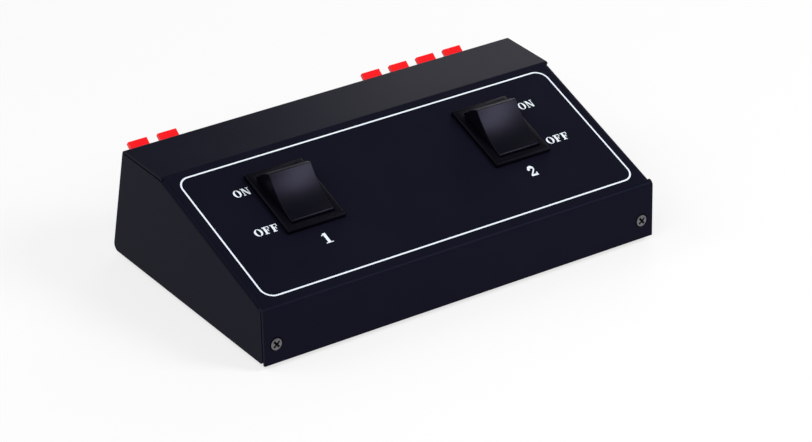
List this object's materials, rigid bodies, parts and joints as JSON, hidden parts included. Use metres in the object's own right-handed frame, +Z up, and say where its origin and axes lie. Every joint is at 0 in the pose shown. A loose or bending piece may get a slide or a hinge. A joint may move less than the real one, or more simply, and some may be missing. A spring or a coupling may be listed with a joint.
{
  "type": "speaker selector switch",
  "caption": "Sloping black steel desk console with rocker switches on top and spring clip wire terminals with red and black levers on its leaning back.",
  "frame": {"origin": "middle of the case's footprint, on the surface that the four feet stand on", "axes": "+X to the right seen from the front, +Y from the low front to the high back, +Z up"},
  "size_m": [0.175, 0.1101, 0.049],
  "materials": {
    "satin_black_paint": "satin, fine texture",
    "screw_steel": "blackened zinc plate",
    "black_rubber": "matt",
    "switch_black_plastic": "semi-gloss",
    "tinned_brass": "tin plate",
    "contact_brass": "bare",
    "plunger_white_plastic": "plain",
    "spring_steel": "bright",
    "block_black_plastic": "matt",
    "lever_red_plastic": "gloss",
    "lever_black_plastic": "gloss",
    "rivet_aluminium": "bare",
    "wire_red_sleeve": "plain",
    "wire_black_sleeve": "plain"
  },
  "bodies": {
    "case": {"base_plate": "satin_black_paint", "block_rivets": "rivet_aluminium", "case_screws": "screw_steel", "clip_spring_black_1": "spring_steel", "clip_spring_black_2": "spring_steel", "clip_spring_black_3": "spring_steel", "clip_spring_black_4": "spring_steel", "clip_spring_black_5": "spring_steel", "clip_spring_black_6": "spring_steel", "clip_spring_red_1": "spring_steel", "clip_spring_red_2": "spring_steel", "clip_spring_red_3": "spring_steel", "clip_spring_red_4": "spring_steel", "clip_spring_red_5": "spring_steel", "clip_spring_red_6": "spring_steel", "input_contact_strips": "tinned_brass", "input_terminal_block": "block_black_plastic", "output_contact_strips": "tinned_brass", "output_terminal_block": "block_black_plastic", "rubber_feet": "black_rubber", "switch_housing_1": "switch_black_plastic", "switch_housing_2": "switch_black_plastic", "switch_terminals_1": "tinned_brass", "switch_terminals_2": "tinned_brass", "top_cover": "satin_black_paint", "wires_black": "wire_black_sleeve", "wires_red": "wire_red_sleeve"},
    "rocker_1": {"plunger_springs_1": "spring_steel", "plungers_1": "plunger_white_plastic", "rocker_1": "switch_black_plastic"},
    "rocker_2": {"plunger_springs_2": "spring_steel", "plungers_2": "plunger_white_plastic", "rocker_2": "switch_black_plastic"},
    "seesaws_1": {"contact_seesaws_1": "contact_brass"},
    "seesaws_2": {"contact_seesaws_2": "contact_brass"},
    "lever_black_1": {"lever_black_1": "lever_black_plastic"},
    "lever_black_2": {"lever_black_2": "lever_black_plastic"},
    "lever_black_3": {"lever_black_3": "lever_black_plastic"},
    "lever_black_4": {"lever_black_4": "lever_black_plastic"},
    "lever_black_5": {"lever_black_5": "lever_black_plastic"},
    "lever_black_6": {"lever_black_6": "lever_black_plastic"},
    "lever_red_1": {"lever_red_1": "lever_red_plastic"},
    "lever_red_2": {"lever_red_2": "lever_red_plastic"},
    "lever_red_3": {"lever_red_3": "lever_red_plastic"},
    "lever_red_4": {"lever_red_4": "lever_red_plastic"},
    "lever_red_5": {"lever_red_5": "lever_red_plastic"},
    "lever_red_6": {"lever_red_6": "lever_red_plastic"}
  },
  "joints": [
    {"name": "rocker_1_tilt", "type": "hinge", "parent": "case", "child": "rocker_1", "pos_m": [-0.0465, -0.00803, 0.03697], "axis": [-1, 0, 0], "range_deg": [0, 41]},
    {"name": "seesaws_1_tilt", "type": "hinge", "parent": "case", "child": "seesaws_1", "pos_m": [-0.0465, -0.00522, 0.02874], "axis": [1, 0, 0], "range_deg": [0, 16]},
    {"name": "rocker_2_tilt", "type": "hinge", "parent": "case", "child": "rocker_2", "pos_m": [0.0465, -0.00803, 0.03697], "axis": [-1, 0, 0], "range_deg": [0, 41]},
    {"name": "seesaws_2_tilt", "type": "hinge", "parent": "case", "child": "seesaws_2", "pos_m": [0.0465, -0.00522, 0.02874], "axis": [1, 0, 0], "range_deg": [0, 16]},
    {"name": "lever_red_1_press", "type": "hinge", "parent": "case", "child": "lever_red_1", "pos_m": [-0.07452, 0.04546, 0.03475], "axis": [-1, 0, 0], "range_deg": [0, 20], "stiffness_Nm_per_rad": 0.1, "springref_deg": -20.05, "deforming": ["clip_spring_red_1"]},
    {"name": "lever_black_1_press", "type": "hinge", "parent": "case", "child": "lever_black_1", "pos_m": [-0.07452, 0.04854, 0.01803], "axis": [-1, 0, 0], "range_deg": [0, 20], "stiffness_Nm_per_rad": 0.1, "springref_deg": -20.05, "deforming": ["clip_spring_black_1"]},
    {"name": "lever_red_2_press", "type": "hinge", "parent": "case", "child": "lever_red_2", "pos_m": [-0.06168, 0.04546, 0.03475], "axis": [-1, 0, 0], "range_deg": [0, 20], "stiffness_Nm_per_rad": 0.1, "springref_deg": -20.05, "deforming": ["clip_spring_red_2"]},
    {"name": "lever_black_2_press", "type": "hinge", "parent": "case", "child": "lever_black_2", "pos_m": [-0.06168, 0.04854, 0.01803], "axis": [-1, 0, 0], "range_deg": [0, 20], "stiffness_Nm_per_rad": 0.1, "springref_deg": -20.05, "deforming": ["clip_spring_black_2"]},
    {"name": "lever_red_3_press", "type": "hinge", "parent": "case", "child": "lever_red_3", "pos_m": [0.03062, 0.04546, 0.03475], "axis": [-1, 0, 0], "range_deg": [0, 20], "stiffness_Nm_per_rad": 0.1, "springref_deg": -20.05, "deforming": ["clip_spring_red_3"]},
    {"name": "lever_black_3_press", "type": "hinge", "parent": "case", "child": "lever_black_3", "pos_m": [0.03062, 0.04854, 0.01803], "axis": [-1, 0, 0], "range_deg": [0, 20], "stiffness_Nm_per_rad": 0.1, "springref_deg": -20.05, "deforming": ["clip_spring_black_3"]},
    {"name": "lever_red_4_press", "type": "hinge", "parent": "case", "child": "lever_red_4", "pos_m": [0.04347, 0.04546, 0.03475], "axis": [-1, 0, 0], "range_deg": [0, 20], "stiffness_Nm_per_rad": 0.1, "springref_deg": -20.05, "deforming": ["clip_spring_red_4"]},
    {"name": "lever_black_4_press", "type": "hinge", "parent": "case", "child": "lever_black_4", "pos_m": [0.04347, 0.04854, 0.01803], "axis": [-1, 0, 0], "range_deg": [0, 20], "stiffness_Nm_per_rad": 0.1, "springref_deg": -20.05, "deforming": ["clip_spring_black_4"]},
    {"name": "lever_red_5_press", "type": "hinge", "parent": "case", "child": "lever_red_5", "pos_m": [0.05633, 0.04546, 0.03475], "axis": [-1, 0, 0], "range_deg": [0, 20], "stiffness_Nm_per_rad": 0.1, "springref_deg": -20.05, "deforming": ["clip_spring_red_5"]},
    {"name": "lever_black_5_press", "type": "hinge", "parent": "case", "child": "lever_black_5", "pos_m": [0.05633, 0.04854, 0.01803], "axis": [-1, 0, 0], "range_deg": [0, 20], "stiffness_Nm_per_rad": 0.1, "springref_deg": -20.05, "deforming": ["clip_spring_black_5"]},
    {"name": "lever_red_6_press", "type": "hinge", "parent": "case", "child": "lever_red_6", "pos_m": [0.06918, 0.04546, 0.03475], "axis": [-1, 0, 0], "range_deg": [0, 20], "stiffness_Nm_per_rad": 0.1, "springref_deg": -20.05, "deforming": ["clip_spring_red_6"]},
    {"name": "lever_black_6_press", "type": "hinge", "parent": "case", "child": "lever_black_6", "pos_m": [0.06918, 0.04854, 0.01803], "axis": [-1, 0, 0], "range_deg": [0, 20], "stiffness_Nm_per_rad": 0.1, "springref_deg": -20.05, "deforming": ["clip_spring_black_6"]}
  ],
  "couplings": [
    {"joint": "seesaws_1_tilt", "follows": "rocker_1_tilt", "ratio": 0.39024},
    {"joint": "seesaws_2_tilt", "follows": "rocker_2_tilt", "ratio": 0.39024}
  ]
}
